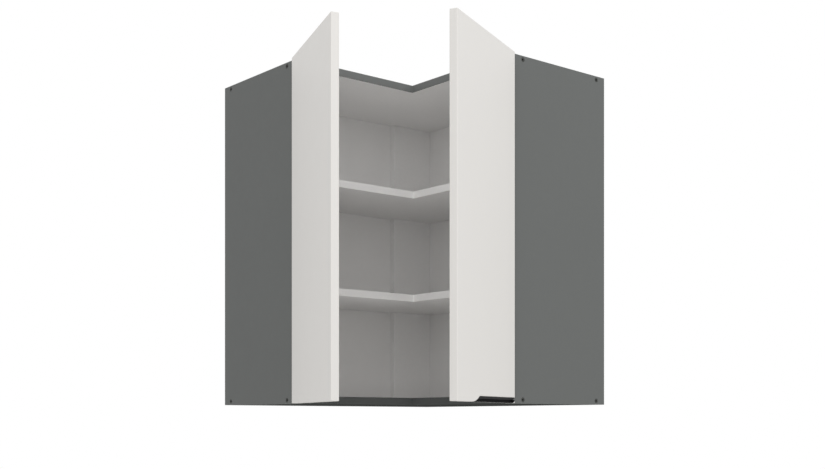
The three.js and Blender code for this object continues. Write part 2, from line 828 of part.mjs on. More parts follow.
// A group turned about an upright line by an angle in degrees, whose contents keep the wing's coordinates.
function turnedAbout(pivot, degrees, ...meshes) {
  const turned = new THREE.Group();
  turned.position.set(pivot.x, pivot.y, 0);
  turned.rotation.z = THREE.MathUtils.degToRad(degrees);
  const inner = new THREE.Group();
  inner.position.set(-pivot.x, -pivot.y, 0);
  inner.add(...meshes);
  turned.add(inner);
  return turned;
}

// One hinge: plate and arm on the panel, lever and link between, cup for the door's group.
function hinge(side, level, z, opening) {
  const name = (piece) => `hinge_${piece}_${side}_${level}`;
  const onPanel = new THREE.Group();
  onPanel.position.set(innerFace, -wingDepth, z);
  onPanel.add(mountingPlate(name("plate")), hingeArm(name("arm")));

  const angle = THREE.MathUtils.degToRad(opening);
  const lever = hingeLever(name("lever"));
  lever.position.set(armPin.x, armPin.y, z);
  lever.rotation.z = angle;

  const link = hingeLink(name("link"));
  const leverEnd = leverVector.clone().rotateAround(new THREE.Vector2(), angle).add(armPin);
  link.position.set(leverEnd.x, leverEnd.y, z);

  const cup = hingeCup(name("cup"));
  cup.position.set(doorEdge - cupFromDoorEdge, doorInner, z);
  return { onPanel, lever, link, cup };
}

function wing(side, doorWidth, opening, withGrip) {
  const group = new THREE.Group();
  const panel = endPanel();
  panel.name = `end_panel_${side}`;
  group.add(panel);
  for (const { name, x, y, z } of endScrewPlaces) {
    group.add(placedScrew(`end_screw_${side}_${name}`, tipTurns.minusX, x, y, z));
  }
  for (const [level, z] of Object.entries(shelfHeights)) {
    for (const [row, y] of Object.entries(pinRows)) {
      const pin = shelfPin(`shelf_pin_${side}_${level}_${row}`);
      pin.position.set(innerFace, y, z - boardJoint - shelfPinFlat);
      group.add(pin);
    }
  }
  const housing = hangerHousing();
  housing.name += `_${side}`;
  const hook = hangerHook();
  hook.name += `_${side}`;
  group.add(housing, hook);

  const onDoor = [doorPanel(`door_${side}`, doorWidth, withGrip)];
  if (withGrip) onDoor.push(gripProfile());
  for (const [level, z] of Object.entries(hingeHeights)) {
    const { onPanel, lever, link, cup } = hinge(side, level, z, opening);
    group.add(onPanel, lever, link);
    onDoor.push(cup);
  }
  group.add(turnedAbout(doorPivot, opening, ...onDoor));
  return group;
}

const cabinet = new THREE.Group();
cabinet.add(topBoard(), bottomBoard(), cornerBoard());
cabinet.add(shelf("lower", lowerShelf), shelf("upper", upperShelf));
for (const { name, turn, x, y, z } of [...cornerScrewPlaces, ...shelfScrewPlaces]) {
  cabinet.add(placedScrew(name, turn, x, y, z));
}

const rightWing = wing("right", rightDoorWidth, rightDoorOpening, true);
rightWing.add(backSheet("back_sheet_right", backFace + boardJoint));

const leftWing = wing("left", leftDoorWidth, leftDoorOpening, false);
leftWing.add(backSheet("back_sheet_left", backInset));
leftWing.scale.x = -1;
leftWing.rotation.z = Math.PI / 2;
cabinet.add(rightWing, leftWing);

export default cabinet;
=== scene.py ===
"""Looks of the corner wall cabinet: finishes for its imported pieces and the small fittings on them.

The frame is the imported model's: the room corner at the height of the cabinet's underside, with the
walls at x = 0 and y = 0 and the wings along +X and -Y. Sizes are in millimetres and turned to
metres by mm(), apart from the lamps' and the camera's places, which are in metres. A wing's pieces
are placed in the right wing's coordinates with its door closed; Wing turns them to their place at
rest.
"""

import json
import logging
import math
from dataclasses import dataclass, field
from enum import Enum

import bmesh
import bpy
from mathutils import Matrix, Vector

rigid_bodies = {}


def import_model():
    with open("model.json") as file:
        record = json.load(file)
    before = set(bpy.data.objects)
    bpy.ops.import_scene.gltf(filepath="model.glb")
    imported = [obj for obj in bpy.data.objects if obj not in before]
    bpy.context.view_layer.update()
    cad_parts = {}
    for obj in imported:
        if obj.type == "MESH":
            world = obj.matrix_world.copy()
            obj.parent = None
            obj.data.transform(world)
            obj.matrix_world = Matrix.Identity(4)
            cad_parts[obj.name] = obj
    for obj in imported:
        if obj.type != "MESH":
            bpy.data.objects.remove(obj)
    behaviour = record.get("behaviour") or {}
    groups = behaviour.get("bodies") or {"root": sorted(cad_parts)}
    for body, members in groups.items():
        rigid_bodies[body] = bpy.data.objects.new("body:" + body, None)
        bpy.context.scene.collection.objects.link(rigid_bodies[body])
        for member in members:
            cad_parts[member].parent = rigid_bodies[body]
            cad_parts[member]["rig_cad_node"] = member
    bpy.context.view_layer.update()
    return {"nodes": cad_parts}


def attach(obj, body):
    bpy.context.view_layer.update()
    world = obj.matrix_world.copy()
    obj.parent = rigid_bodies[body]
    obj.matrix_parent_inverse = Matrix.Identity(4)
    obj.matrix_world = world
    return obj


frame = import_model()

log = logging.getLogger("corner_cabinet")

Colour = tuple[float, float, float, float] | bpy.types.NodeSocket
Inputs = dict[str | int, object]

PHOTO_WIDTH = 825
PHOTO_HEIGHT = 469

FACING_COSINE = 0.9  # a face looks in a direction where the cosine of the angle to it is above this
SAME_PLACE = 1e-7  # metres: vertices nearer than this are one
HEIGHT_DIGITS = 7  # decimals of a metre by which two faces' heights are told apart
RECESS_INDEX = 1  # the material index of the faces inside a recess, which are painted dark as shade
RIM_STEPS = 3  # segments of a rounded rim
# the left wing is the right one mirrored in the room corner's bisector: (x, y) goes to (-y, -x)
WINGS_SWAPPED = Matrix(((0, -1, 0, 0), (-1, 0, 0, 0), (0, 0, 1, 0), (0, 0, 0, 1)))


# ---- Measures, colours and nodes -----------------------------------------------------------------


def mm(value: float) -> float:
    """Millimetres as metres."""
    return value / 1000


def linear(hex_colour: str) -> tuple[float, float, float, float]:
    """Turns an sRGB hex colour to linear light, by the standard's own curve.

    Args:
        hex_colour: the colour as "#rrggbb".

    Returns:
        Red, green, blue and an alpha of 1.
    """
    parts = [int(hex_colour[i : i + 2], 16) / 255 for i in (1, 3, 5)]
    red, green, blue = [p / 12.92 if p <= 0.04045 else ((p + 0.055) / 1.055) ** 2.4 for p in parts]
    return red, green, blue, 1.0


def feed(tree: bpy.types.NodeTree, node: bpy.types.Node, inputs: Inputs) -> None:
    """Sets or links a node's inputs.

    Args:
        tree: the node tree.
        node: the node.
        inputs: for an input's name or number, its value or the output socket that feeds it.
    """
    for key, value in inputs.items():
        if isinstance(value, bpy.types.NodeSocket):
            tree.links.new(value, node.inputs[key])
        else:
            node.inputs[key].default_value = value


def add_node(
    tree: bpy.types.NodeTree, kind: str, inputs: Inputs | None = None, **settings: object
) -> bpy.types.Node:
    """Adds a shader node.

    Args:
        tree: the node tree that gets it.
        kind: the node's class name after "ShaderNode".
        inputs: for an input's name or number, its value or the output socket that feeds it.
        **settings: the node's own properties.

    Returns:
        The node.
    """
    node = tree.nodes.new("ShaderNode" + kind)
    for name, value in settings.items():
        setattr(node, name, value)
    feed(tree, node, inputs or {})
    return node


class Facing(Enum):
    """Directions that a flat face looks in."""

    ALONG_RIGHT_WING = (1.0, 0.0, 0.0)
    LEFT_WALL = (-1.0, 0.0, 0.0)
    RIGHT_WALL = (0.0, 1.0, 0.0)
    ALONG_LEFT_WING = (0.0, -1.0, 0.0)
    UP = (0.0, 0.0, 1.0)
    DOWN = (0.0, 0.0, -1.0)


# ---- Finishes ------------------------------------------------------------------------------------


@dataclass(frozen=True)
class Finish:
    """What every finish has: its name, which is the real material's, and the record's slot, which is
    not used.
    """

    name: str
    slot: str

    def shade(self, tree: bpy.types.NodeTree, bsdf: bpy.types.Node) -> None:
        """Builds the finish on the shader.

        Args:
            tree: the material's node tree.
            bsdf: its Principled shader.
        """
        raise NotImplementedError

    def material(self) -> bpy.types.Material:
        """Gives the finish's material, which is made once.

        Returns:
            The material.
        """
        made = bpy.data.materials.get(self.name)
        if made is None:
            made = bpy.data.materials.new(self.name)
            made.use_nodes = True
            self.shade(made.node_tree, made.node_tree.nodes["Principled BSDF"])
        return made

    def dress(self, piece: bpy.types.Object) -> None:
        """Puts the finish on a piece.

        Args:
            piece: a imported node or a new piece.
        """
        if not piece.material_slots:
            piece.data.materials.append(None)
        for slot in piece.material_slots:
            slot.material = self.material()

    @staticmethod
    def noise(tree: bpy.types.NodeTree, size: float, detail: float = 2.0) -> bpy.types.NodeSocket:
        """Cloudy variation on Object coordinates.

        Args:
            tree: the node tree.
            size: the width of one cloud, in millimetres.
            detail: how many finer octaves it has.

        Returns:
            The noise's factor, 0 to 1 round 0.5.
        """
        place = add_node(tree, "TexCoord").outputs["Object"]
        settings = {"Vector": place, "Scale": 1 / mm(size), "Detail": detail}
        return add_node(tree, "TexNoise", settings).outputs["Fac"]

    @staticmethod
    def tinted(
        tree: bpy.types.NodeTree, colour: Colour, by: bpy.types.NodeSocket, spread: float
    ) -> bpy.types.NodeSocket:
        """Lightens and darkens a colour by a pattern.

        Args:
            tree: the node tree.
            colour: a linear colour or the socket that gives it.
            by: the pattern, 0 to 1.
            spread: the whole swing of brightness, as a share.

        Returns:
            The varied colour.
        """
        span = {"Value": by, "To Min": 1 - spread / 2, "To Max": 1 + spread / 2}
        value = add_node(tree, "MapRange", span).outputs["Result"]
        return add_node(tree, "HueSaturation", {"Value": value, "Color": colour}).outputs["Color"]

    @staticmethod
    def dented(
        tree: bpy.types.NodeTree, height: bpy.types.NodeSocket, depth: float, strength: float
    ) -> bpy.types.NodeSocket:
        """Turns a pattern to a bump.

        Args:
            tree: the node tree.
            height: the pattern, 0 to 1.
            depth: what 1 stands for, in millimetres.
            strength: the share of the bump that shows.

        Returns:
            The bumped normal.
        """
        bump = {"Height": height, "Distance": mm(depth), "Strength": strength}
        return add_node(tree, "Bump", bump).outputs["Normal"]

    @staticmethod
    def looks(tree: bpy.types.NodeTree, facing: Facing) -> bpy.types.NodeSocket:
        """Marks the faces that look in a direction.

        Args:
            tree: the node tree.
            facing: the direction.

        Returns:
            1 on those faces, 0 elsewhere.
        """
        normal = add_node(tree, "TexCoord").outputs["Normal"]
        dot = add_node(tree, "VectorMath", {0: normal, 1: facing.value}, operation="DOT_PRODUCT")
        limit = {0: dot.outputs["Value"], 1: FACING_COSINE}
        return add_node(tree, "Math", limit, operation="GREATER_THAN").outputs[0]

    @staticmethod
    def mixed(
        tree: bpy.types.NodeTree, factor: bpy.types.NodeSocket, below: Colour, above: Colour
    ) -> bpy.types.NodeSocket:
        """Mixes two colours.

        Args:
            tree: the node tree.
            factor: 0 gives the first colour and 1 the second.
            below: the first colour or its socket.
            above: the second colour or its socket.

        Returns:
            The mixed colour.
        """
        # a colour mix's own sockets come after its number and vector ones
        return add_node(tree, "Mix", {0: factor, 6: below, 7: above}, data_type="RGBA").outputs[2]


@dataclass(frozen=True)
class MelamineBoard(Finish):
    """Melamine-faced chipboard: decor paper pressed on with a pearl-textured plate, which leaves an
    even, slightly mottled sheen; an ABS band on the front edge; bare core on the edges that face a
    wall."""

    outside: str = "#5b5d5c"
    inside: str = "#f1f0ef"
    banding: str | None = None  # colour of the ABS band, or None where it matches the board
    underside: str | None = None  # painted shade: colour of the face that looks down, or None where it matches
    inward: Facing | None = None  # where the white side looks, or None for a board of one colour
    bare: tuple[Facing, ...] = ()
    front: float = 288  # wall to the banded front edge
    band: float = 0.9  # thickness of the ABS band
    seam: float = 0.12  # half the width of the glue line behind it
    glue: str = "#3a3a39"
    glue_share: float = 0.45  # how much of the glue's colour shows
    mottle: float = 7  # the paper's tone, which is drawn coarse enough to show
    mottle_spread: float = 0.05
    drift: float = 260
    drift_spread: float = 0.04
    chip: float = 2.4  # one chip of the core
    chip_dark: str = "#8a6c48"
    chip_light: str = "#cdb58c"
    sheen: float = 21
    roughness: tuple[float, float] = (0.52, 0.64)
    ior: float = 1.5
    gloss: float = 0.16  # the specular level of the lacquered paper
    pearl: float = 1.1  # one dimple of the pressed texture
    pearl_depth: float = 0.03
    pearl_strength: float = 0.35

    def core(self, tree: bpy.types.NodeTree) -> bpy.types.NodeSocket:
        """The chipboard's core: pressed wood chips, each of its own tan.

        Args:
            tree: the node tree.

        Returns:
            The core's colour.
        """
        place = add_node(tree, "TexCoord").outputs["Object"]
        chips = add_node(tree, "TexVoronoi", {"Vector": place, "Scale": 1 / mm(self.chip)})
        shade = add_node(tree, "RGBToBW", {"Color": chips.outputs["Color"]}).outputs["Val"]
        return self.mixed(tree, shade, linear(self.chip_dark), linear(self.chip_light))

    def edged(self, tree: bpy.types.NodeTree, colour: Colour) -> bpy.types.NodeSocket:
        """Lays the ABS band and the glue line behind it over the front edges.

        Args:
            tree: the node tree.
            colour: the board's colour.

        Returns:
            The colour with the edges.
        """
        place = add_node(tree, "SeparateXYZ", {0: add_node(tree, "TexCoord").outputs["Object"]})
        right_front = {0: mm(self.front), 1: place.outputs["Y"]}
        left_front = {0: mm(self.front), 1: place.outputs["X"]}
        # how far a point is behind the front edge of its own wing
        depths = {
            0: add_node(tree, "Math", left_front, operation="SUBTRACT").outputs[0],
            1: add_node(tree, "Math", right_front, operation="ADD").outputs[0],
        }
        behind = add_node(tree, "Math", depths, operation="MAXIMUM").outputs[0]
        if self.banding is not None:
            in_band = add_node(tree, "Math", {0: behind, 1: mm(self.band)}, operation="LESS_THAN")
            colour = self.mixed(tree, in_band.outputs[0], colour, linear(self.banding))
        line = {0: behind, 1: mm(self.band), 2: mm(self.seam)}
        seam = {0: add_node(tree, "Math", line, operation="COMPARE").outputs[0], 1: self.glue_share}
        faint = add_node(tree, "Math", seam, operation="MULTIPLY").outputs[0]
        return self.mixed(tree, faint, colour, linear(self.glue))

    def shade(self, tree: bpy.types.NodeTree, bsdf: bpy.types.Node) -> None:
        """Builds the board's faces, edges and bare core on the shader.

        Args:
            tree: the material's node tree.
            bsdf: its Principled shader.
        """
        colour: Colour = linear(self.outside)
        # painted shade: the faces that look down take a darker colour, for the dim light under the
        # cabinet
        if self.underside is not None:
            underside_shade_mask = self.looks(tree, Facing.DOWN)
            colour = self.mixed(tree, underside_shade_mask, colour, linear(self.underside))
        if self.inward is not None:
            inward = self.looks(tree, self.inward)
            colour = self.mixed(tree, inward, colour, linear(self.inside))
        colour = self.edged(tree, colour)
        mottle = self.noise(tree, self.mottle, detail=3)
        colour = self.tinted(tree, colour, mottle, self.mottle_spread)
        colour = self.tinted(tree, colour, self.noise(tree, self.drift), self.drift_spread)
        for facing in self.bare:
            colour = self.mixed(tree, self.looks(tree, facing), colour, self.core(tree))
        low, high = self.roughness
        sheen = {"Value": self.noise(tree, self.sheen), "To Min": low, "To Max": high}
        pearl = self.noise(tree, self.pearl, detail=1)
        feed(tree, bsdf, {
            "Base Color": colour,
            "Roughness": add_node(tree, "MapRange", sheen).outputs["Result"],
            "IOR": self.ior,
            "Specular IOR Level": self.gloss,
            "Normal": self.dented(tree, pearl, self.pearl_depth, self.pearl_strength),
        })


@dataclass(frozen=True)
class FoiledFront(Finish):
    """Fibreboard front wrapped in a satin white foil: seamless round the edges, with the faint
    waviness that the vacuum press leaves."""

    colour: str = "#cac8c5"
    drift: float = 320
    drift_spread: float = 0.02
    speckle: float = 6.4
    speckle_spread: float = 0.012
    sheen: float = 36
    roughness: tuple[float, float] = (0.36, 0.46)
    ior: float = 1.46
    gloss: float = 0.3  # the specular level
    wave: float = 9
    grit: float = 1.6  # the foil's fine tooth, drawn coarse enough to show close up
    wave_depth: float = 0.02
    wave_strength: float = 0.3

    def shade(self, tree: bpy.types.NodeTree, bsdf: bpy.types.Node) -> None:
        """Builds the foil on the shader.

        Args:
            tree: the material's node tree.
            bsdf: its Principled shader.
        """
        drift = self.noise(tree, self.drift)
        colour = self.tinted(tree, linear(self.colour), drift, self.drift_spread)
        speckle = self.noise(tree, self.speckle, detail=3)
        low, high = self.roughness
        satin = {"Value": self.noise(tree, self.sheen), "To Min": low, "To Max": high}
        relief = {
            0: self.noise(tree, self.wave, detail=1),
            1: self.noise(tree, self.grit, detail=1),
        }
        height = add_node(tree, "Math", relief, operation="ADD").outputs[0]
        feed(tree, bsdf, {
            "Base Color": self.tinted(tree, colour, speckle, self.speckle_spread),
            "Roughness": add_node(tree, "MapRange", satin).outputs["Result"],
            "IOR": self.ior,
            "Specular IOR Level": self.gloss,
            "Normal": self.dented(tree, height, self.wave_depth, self.wave_strength),
        })


@dataclass(frozen=True)
class Hardboard(Finish):
    """Wet-pressed hardboard: lacquered white and smooth on the side that shows in the cabinet, and
    bare brown fibre towards the wall."""

    white: Facing
    lacquer: str = "#f1f0ef"
    lacquer_cloud: float = 40
    lacquer_spread: float = 0.025
    fibre_dark: str = "#6b5745"
    fibre_light: str = "#836f5a"
    fibre_range: tuple[float, float] = (0.12, 0.42)  # of the pattern, from dark to light
    fibre: float = 9
    fleck: float = 2.2
    fleck_depth: float = 0.08
    fleck_strength: float = 0.4
    roughness: tuple[float, float] = (0.85, 0.5)  # of the bare and of the white side
    gloss: float = 0.3  # the specular level

    def shade(self, tree: bpy.types.NodeTree, bsdf: bpy.types.Node) -> None:
        """Builds both sides on the shader.

        Args:
            tree: the material's node tree.
            bsdf: its Principled shader.
        """
        flecks = self.noise(tree, self.fleck, detail=6)
        patterns = {0: flecks, 1: self.noise(tree, self.fibre, detail=4)}
        blend = add_node(tree, "Math", patterns, operation="MULTIPLY").outputs[0]
        low, high = self.fibre_range
        wide = add_node(tree, "MapRange", {"Value": blend, "From Min": low, "From Max": high})
        dark, light = linear(self.fibre_dark), linear(self.fibre_light)
        brown = self.mixed(tree, wide.outputs["Result"], dark, light)
        cloud = self.noise(tree, self.lacquer_cloud)
        lacquer = self.tinted(tree, linear(self.lacquer), cloud, self.lacquer_spread)
        side = self.looks(tree, self.white)
        bare_side, white_side = self.roughness
        rough = {"Value": side, "To Min": bare_side, "To Max": white_side}
        feed(tree, bsdf, {
            "Base Color": self.mixed(tree, side, brown, lacquer),
            "Roughness": add_node(tree, "MapRange", rough).outputs["Result"],
            "Specular IOR Level": self.gloss,
            "Normal": self.dented(tree, flecks, self.fleck_depth, self.fleck_strength),
        })


@dataclass(frozen=True)
class Moulded(Finish):
    """A moulded or extruded plastic: even colour, a matt eroded skin and faint flow marks, with
    painted shade in the recess below a lip where one is given.
    """

    colour: str
    recess: str | None = None  # painted shade in the recess below a lip: its colour, or None without one
    recess_shade_below: float = 0  # its height over the underside of the cabinet
    tone: float = 12
    tone_spread: float = 0.06
    sheen: float = 5
    roughness: float = 0.5
    roughness_spread: float = 0.06  # to either side
    gloss: float = 0.5  # the specular level
    ior: float = 1.53
    grain: float = 0.8
    grain_depth: float = 0.02
    grain_strength: float = 0.3

    def shade(self, tree: bpy.types.NodeTree, bsdf: bpy.types.Node) -> None:
        """Builds the plastic on the shader.

        Args:
            tree: the material's node tree.
            bsdf: its Principled shader.
        """
        colour: Colour = linear(self.colour)
        # painted shade: below a given height the plastic turns darker, for the shade in the finger
        # recess
        if self.recess is not None:
            place = add_node(tree, "SeparateXYZ", {0: add_node(tree, "TexCoord").outputs["Object"]})
            low = {0: place.outputs["Z"], 1: mm(self.recess_shade_below)}
            recess_shade_mask = add_node(tree, "Math", low, operation="LESS_THAN").outputs[0]
            colour = self.mixed(tree, recess_shade_mask, colour, linear(self.recess))
        span = {
            "Value": self.noise(tree, self.sheen),
            "To Min": self.roughness - self.roughness_spread,
            "To Max": self.roughness + self.roughness_spread,
        }
        grain = self.noise(tree, self.grain, detail=1)
        feed(tree, bsdf, {
            "Base Color": self.tinted(tree, colour, self.noise(tree, self.tone), self.tone_spread),
            "Roughness": add_node(tree, "MapRange", span).outputs["Result"],
            "IOR": self.ior,
            "Specular IOR Level": self.gloss,
            "Normal": self.dented(tree, grain, self.grain_depth, self.grain_strength),
        })


@dataclass(frozen=True)
class PlatedSteel(Finish):
    """Pressed steel with a plated or blackened skin: metal colour, fine drawing lines from the
    press tool and a soft cloudiness from the bath."""

    colour: str
    dark: str
    roughness: float
    smoother: float = 0.07  # how far the roughness goes down in the clouds
    rougher: float = 0.09  # and how far up
    cloud: float = 6
    line: float = 0.7
    line_stretch: tuple[float, float, float] = (1.0, 1.0, 0.08)  # the lines run upright
    line_depth: float = 0.008
    line_strength: float = 0.3

    def shade(self, tree: bpy.types.NodeTree, bsdf: bpy.types.Node) -> None:
        """Builds the metal on the shader.

        Args:
            tree: the material's node tree.
            bsdf: its Principled shader.
        """
        clouds = self.noise(tree, self.cloud, detail=4)
        span = {
            "Value": clouds,
            "To Min": self.roughness - self.smoother,
            "To Max": self.roughness + self.rougher,
        }
        place = add_node(tree, "TexCoord").outputs["Object"]
        drawn = add_node(tree, "Mapping", {"Vector": place, "Scale": self.line_stretch})
        pattern = {"Vector": drawn.outputs["Vector"], "Scale": 1 / mm(self.line)}
        lines = add_node(tree, "TexNoise", pattern).outputs["Fac"]
        feed(tree, bsdf, {
            "Base Color": self.mixed(tree, clouds, linear(self.dark), linear(self.colour)),
            "Metallic": 1.0,
            "Roughness": add_node(tree, "MapRange", span).outputs["Result"],
            "Normal": self.dented(tree, lines, self.line_depth, self.line_strength),
        })


@dataclass(frozen=True)
class ClearElastomer(Finish):
    """Cast clear polyurethane: a soft, slightly milky dome."""

    tint: str = "#e9ece8"
    cloud: float = 4
    cloud_spread: float = 0.05
    roughness: float = 0.12
    ior: float = 1.5
    clearness: float = 0.55

    def shade(self, tree: bpy.types.NodeTree, bsdf: bpy.types.Node) -> None:
        """Builds the clear dome on the shader.

        Args:
            tree: the material's node tree.
            bsdf: its Principled shader.
        """
        cloud = self.noise(tree, self.cloud)
        feed(tree, bsdf, {
            "Base Color": self.tinted(tree, linear(self.tint), cloud, self.cloud_spread),
            "Roughness": self.roughness,
            "IOR": self.ior,
            "Transmission Weight": self.clearness,
        })


class Finishes:
    """The finishes of the cabinet's pieces, by what they are on."""

    walls = (Facing.RIGHT_WALL, Facing.LEFT_WALL)
    # painted light: its inside, the ceiling of the upper compartment, is a paler white than the other
    # boards', as more light reaches the top
    top = MelamineBoard(
        "melamine_graphite_top", "graphite_board", inside="#f8f7f6", banding="#676968",
        inward=Facing.DOWN, bare=walls, band=0.4,
    )
    # painted shade: this board's graphite is darker than the other boards' and its underside darker
    # still, as the bottom of the cabinet gets less light
    bottom = MelamineBoard(
        "melamine_graphite_bottom", "graphite_board", outside="#515352", underside="#424443",
        inward=Facing.UP, bare=walls, gloss=0.0,
    )
    end_right = MelamineBoard(
        "melamine_graphite_right", "graphite_board",
        inward=Facing.LEFT_WALL, bare=(Facing.RIGHT_WALL,),
    )
    end_left = MelamineBoard(
        "melamine_graphite_left", "graphite_board",
        inward=Facing.RIGHT_WALL, bare=(Facing.LEFT_WALL,),
    )
    shelf = MelamineBoard(
        "melamine_white_shelf", "white_board", outside="#f1f0ef", banding="#e9e8e7",
        bare=walls, front=273,
    )
    corner = MelamineBoard("melamine_white_corner", "white_board", outside="#f1f0ef", front=137)
    front = FoiledFront("foil_white", "white_front")
    back_right = Hardboard("hardboard_right", "back_sheet", white=Facing.ALONG_LEFT_WING)
    back_left = Hardboard("hardboard_left", "back_sheet", white=Facing.ALONG_RIGHT_WING)
    # painted shade: below 7.15 mm the black turns darker, for the shade in the finger recess below
    # the lip
    grip = Moulded(
        "abs_black", "grip_black", colour="#333334", recess="#151516", recess_shade_below=7.15,
        roughness=0.7, gloss=0.02,
    )
    housing = Moulded("abs_white", "white_plastic", colour="#e2e2de", roughness=0.4)
    screw = PlatedSteel(
        "steel_blackened", "screw_dark", colour="#575856", dark="#363735", roughness=0.45
    )
    hinge = PlatedSteel(
        "steel_nickel_plated", "nickel_steel", colour="#dad9d6", dark="#cecdc9", roughness=0.3
    )
    # painted shade: a dark steel on the screws' cross recesses, standing for the shade of their real
    # depth
    recess = PlatedSteel(
        "steel_recess_shade", "nickel_steel", colour="#4c4b49", dark="#3a3938", roughness=0.6
    )
    hook = PlatedSteel(
        "steel_zinc_plated", "zinc_steel", colour="#b9bdc2", dark="#8f959c", roughness=0.38, cloud=9
    )
    bumper = ClearElastomer("polyurethane_clear", "white_plastic")


# ---- Wings ---------------------------------------------------------------------------------------


@dataclass(frozen=True)
class Wing:
    """One wing of the cabinet and how its door stands."""

    side: str
    mirrored: bool
    opening: float  # degrees from closed
    door_width: float
    has_grip: bool
    length: float = 600
    board: float = 16
    front: float = -288
    door_edge: float = 599  # the closed door's hinge edge
    door_inner: float = -290  # the closed door's inner face
    pivot: tuple[float, float] = (598.7, -292.0)
    hinge_heights: tuple[float, float] = (101.0, 615.0)

    @property
    def inner(self) -> float:
        """The end panel's inner face."""
        return self.length - self.board

    @property
    def door_body(self) -> str:
        """The body that the door and what is on it ride on."""
        return f"door_{self.side}"

    def to_rest(self, on_door: bool = False) -> Matrix:
        """Turns the closed right wing's coordinates to this wing's place at rest.

        Args:
            on_door: whether the piece swings with the door.

        Returns:
            The matrix, in metres.
        """
        turn = Matrix.Identity(4)
        if on_door:
            hinge_line = Matrix.Translation((mm(self.pivot[0]), mm(self.pivot[1]), 0))
            swing = Matrix.Rotation(math.radians(self.opening), 4, "Z")
            turn = hinge_line @ swing @ hinge_line.inverted()
        if self.mirrored:
            turn = WINGS_SWAPPED @ turn
        return turn


RIGHT_WING = Wing("right", mirrored=False, opening=114, door_width=287, has_grip=True)
LEFT_WING = Wing("left", mirrored=True, opening=110, door_width=296, has_grip=False)


# ---- Small fittings ------------------------------------------------------------------------------


def upright_on(point: tuple[float, float, float], outward: tuple[float, float, float]) -> Matrix:
    """A place for a shape that stands on its own XY plane.

    Args:
        point: where its base goes, in millimetres.
        outward: the direction that its +Z takes.

    Returns:
        The matrix, in metres.
    """
    turn = Vector(outward).to_track_quat("Z", "Y").to_matrix().to_4x4()
    return Matrix.Translation([mm(value) for value in point]) @ turn


def rounded_disc(
    radius: float, height: float, rounding: float, segments: int
) -> bmesh.types.BMesh:
    """Makes a disc that stands on the XY plane, with its upper edge rounded.

    Args:
        radius: its radius, in millimetres.
        height: its height, in millimetres.
        rounding: how far the rounding reaches from the edge, in millimetres.
        segments: how many sides it has.

    Returns:
        The disc.
    """
    disc = bmesh.new()
    bmesh.ops.create_cone(
        disc, cap_ends=True, segments=segments,
        radius1=mm(radius), radius2=mm(radius), depth=mm(height),
    )
    bmesh.ops.translate(disc, verts=disc.verts, vec=(0, 0, mm(height) / 2))
    top = max(disc.faces, key=lambda face: face.calc_center_median().z)
    bmesh.ops.bevel(
        disc, geom=top.edges[:], offset=mm(rounding), segments=RIM_STEPS, profile=0.5,
        affect="EDGES", material=-1,
    )
    return disc


def merge(shape: bmesh.types.BMesh, part: bmesh.types.BMesh, place: Matrix) -> None:
    """Puts a part in its place and adds it to a mesh.

    Args:
        shape: the mesh that it is added to.
        part: the part, which is freed.
        place: the part's matrix, in metres.
    """
    bmesh.ops.transform(part, matrix=place, verts=part.verts)
    copy = bpy.data.meshes.new("part")
    part.to_mesh(copy)
    part.free()
    shape.from_mesh(copy)
    bpy.data.meshes.remove(copy)


def finished(
    name: str, shape: bmesh.types.BMesh, finish: Finish, body: str,
    smooth_below: float = 40, recess: Finish | None = None,
) -> bpy.types.Object:
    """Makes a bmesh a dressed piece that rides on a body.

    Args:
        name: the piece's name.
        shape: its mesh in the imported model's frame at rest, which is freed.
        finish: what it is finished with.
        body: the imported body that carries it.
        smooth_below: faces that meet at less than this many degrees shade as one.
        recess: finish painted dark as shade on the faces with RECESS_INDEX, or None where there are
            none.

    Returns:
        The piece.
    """
    bmesh.ops.remove_doubles(shape, verts=shape.verts, dist=SAME_PLACE)
    bmesh.ops.recalc_face_normals(shape, faces=shape.faces)
    for edge in shape.edges:
        edge.smooth = edge.calc_face_angle(math.pi) < math.radians(smooth_below)
    for face in shape.faces:
        face.smooth = True
    mesh = bpy.data.meshes.new(name)
    shape.to_mesh(mesh)
    shape.free()
    piece = bpy.data.objects.new(name, mesh)
    bpy.context.scene.collection.objects.link(piece)
    finish.dress(piece)
    # the second material is the painted shade of the faces at RECESS_INDEX
    if recess is not None:
        piece.data.materials.append(recess.material())
    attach(piece, body)
    return piece


